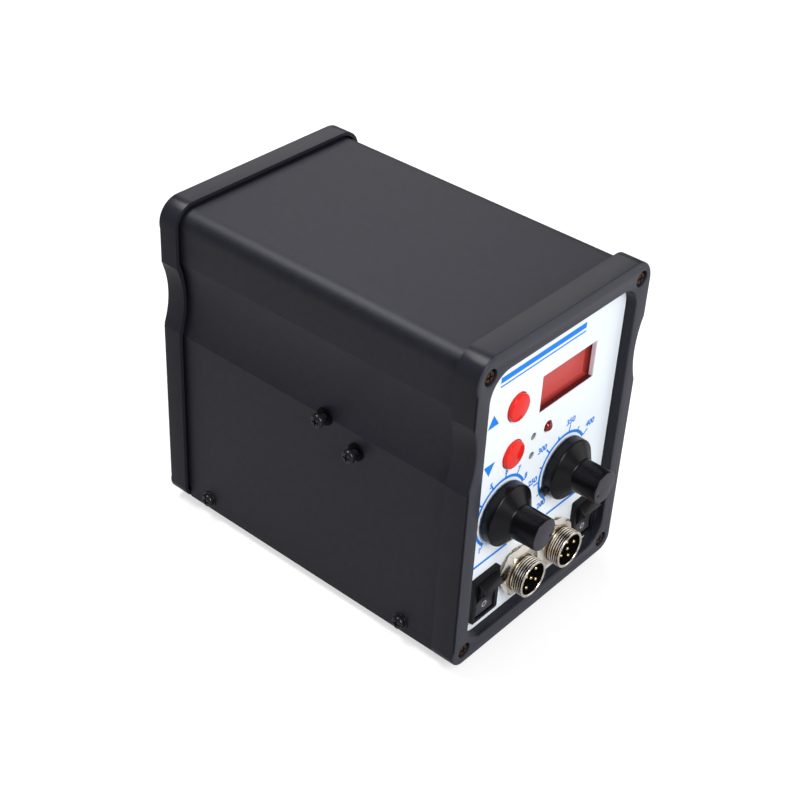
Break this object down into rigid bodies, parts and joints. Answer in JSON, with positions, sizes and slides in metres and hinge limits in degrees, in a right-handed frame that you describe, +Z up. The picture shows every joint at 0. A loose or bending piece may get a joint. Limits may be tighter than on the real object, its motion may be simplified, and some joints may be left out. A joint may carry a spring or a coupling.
{
  "type": "hot air rework station",
  "caption": "Bench control unit for a hot air tool and a soldering iron: black steel case between two moulded bezels, with a recessed front panel.",
  "frame": {"origin": "on the table, under the middle of the case between the four feet", "axes": "+X to the right seen from the front, +Y from the front panel to the rear, +Z up"},
  "size_m": [0.1031, 0.1682, 0.139],
  "materials": {
    "bezel_abs": "moulded satin ABS",
    "coated_steel": "fine black powder coat",
    "panel_paint": "white enamel on sheet",
    "zinc_steel": "zinc-plated sheet",
    "overlay": "printed polycarbonate film, satin",
    "yellow_zinc": "yellow zinc-plated steel",
    "black_steel": "black oxide",
    "foot_rubber": "moulded",
    "red_acrylic": "translucent red acrylic",
    "display_block": "moulded",
    "board": "solder mask on glass epoxy",
    "brass_parts": "gold-flashed brass",
    "red_abs": "moulded, semi-gloss",
    "black_nylon": "moulded",
    "white_nylon": "moulded",
    "blue_plastic": "moulded",
    "plated_parts": "nickel-plated",
    "knob_plastic": "moulded satin ABS",
    "switch_plastic": "moulded nylon",
    "nickel": "turned and nickel-plated",
    "fuse_glass": "clear tube with plated caps",
    "core_steel": "varnished laminations",
    "winding_tape": "yellow polyester tape",
    "capacitor_sleeve": "shrink sleeve",
    "heatsink_alu": "extruded",
    "wire_pvc": "PVC insulation"
  },
  "bodies": {
    "case": {"front_bezel": "bezel_abs", "rear_bezel": "bezel_abs", "top_cover": "coated_steel", "base_plate": "coated_steel", "front_panel": "panel_paint", "rear_panel": "coated_steel", "front_label": "overlay", "front_screws": "yellow_zinc", "rear_screws": "yellow_zinc", "side_screws": "black_steel", "side_washers": "black_steel", "holder_screws": "black_steel", "holder_nuts": "black_steel", "panel_rivets": "zinc_steel", "feet": "foot_rubber", "foot_screws": "zinc_steel", "display_lens": "red_acrylic", "display_module": "display_block", "control_board": "board", "board_fasteners": "brass_parts", "switch_bodies": "black_nylon", "heater_led": "red_acrylic", "led_spacer": "white_nylon", "trimmer_bodies": "blue_plastic", "pot_bodies": "plated_parts", "pot_nuts": "plated_parts", "rocker_housings": "switch_plastic", "rocker_terminals": "brass_parts", "connector_shells": "nickel", "connector_nuts": "nickel", "connector_washers": "nickel", "connector_inserts": "black_nylon", "contact_pins": "brass_parts", "inlet_body": "switch_plastic", "inlet_pins": "plated_parts", "inlet_fasteners": "plated_parts", "transformer_core": "core_steel", "transformer_winding": "winding_tape", "transformer_bracket": "zinc_steel", "power_board": "board", "chassis_fasteners": "zinc_steel", "capacitors": "capacitor_sleeve", "relay": "blue_plastic", "heatsink": "heatsink_alu", "triac": "black_nylon", "wiring": "wire_pvc"},
    "button_up": {"button_up": "red_abs", "plunger_up": "black_nylon"},
    "button_down": {"button_down": "red_abs", "plunger_down": "black_nylon"},
    "trimmer_upper": {"trimmer_rotor_upper": "white_nylon"},
    "trimmer_lower": {"trimmer_rotor_lower": "white_nylon"},
    "knob_left": {"knob_left": "knob_plastic", "shaft_left": "plated_parts"},
    "knob_right": {"knob_right": "knob_plastic", "shaft_right": "plated_parts"},
    "rocker_left": {"rocker_left": "switch_plastic"},
    "rocker_right": {"rocker_right": "switch_plastic"},
    "fuse_drawer": {"fuse_drawer": "switch_plastic", "fuse": "fuse_glass"}
  },
  "joints": [
    {"name": "up_button_press", "type": "slide", "parent": "case", "child": "button_up", "axis": [0, 1, 0], "range_m": [0, 0.0005], "stiffness_N_per_m": 1500},
    {"name": "down_button_press", "type": "slide", "parent": "case", "child": "button_down", "axis": [0, 1, 0], "range_m": [0, 0.0005], "stiffness_N_per_m": 1500},
    {"name": "upper_trimmer_turn", "type": "hinge", "parent": "case", "child": "trimmer_upper", "pos_m": [-0.0075, -0.0715, 0.0862], "axis": [0, -1, 0], "range_deg": [-130, 130]},
    {"name": "lower_trimmer_turn", "type": "hinge", "parent": "case", "child": "trimmer_lower", "pos_m": [-0.0075, -0.0715, 0.0776], "axis": [0, -1, 0], "range_deg": [-130, 130]},
    {"name": "left_knob_turn", "type": "hinge", "parent": "case", "child": "knob_left", "pos_m": [-0.0234, -0.0715, 0.0617], "axis": [0, -1, 0], "range_deg": [-14, 266]},
    {"name": "right_knob_turn", "type": "hinge", "parent": "case", "child": "knob_right", "pos_m": [0.0136, -0.0715, 0.0617], "axis": [0, -1, 0], "range_deg": [-245, 35]},
    {"name": "left_rocker_tilt", "type": "hinge", "parent": "case", "child": "rocker_left", "pos_m": [-0.0294, -0.0703, 0.0258], "axis": [-1, 0, 0], "range_deg": [0, 34]},
    {"name": "right_rocker_tilt", "type": "hinge", "parent": "case", "child": "rocker_right", "pos_m": [0.0328, -0.0703, 0.0258], "axis": [-1, 0, 0], "range_deg": [0, 34]},
    {"name": "fuse_drawer_pull", "type": "slide", "parent": "case", "child": "fuse_drawer", "axis": [0, 1, 0], "range_m": [0, 0.016]}
  ]
}
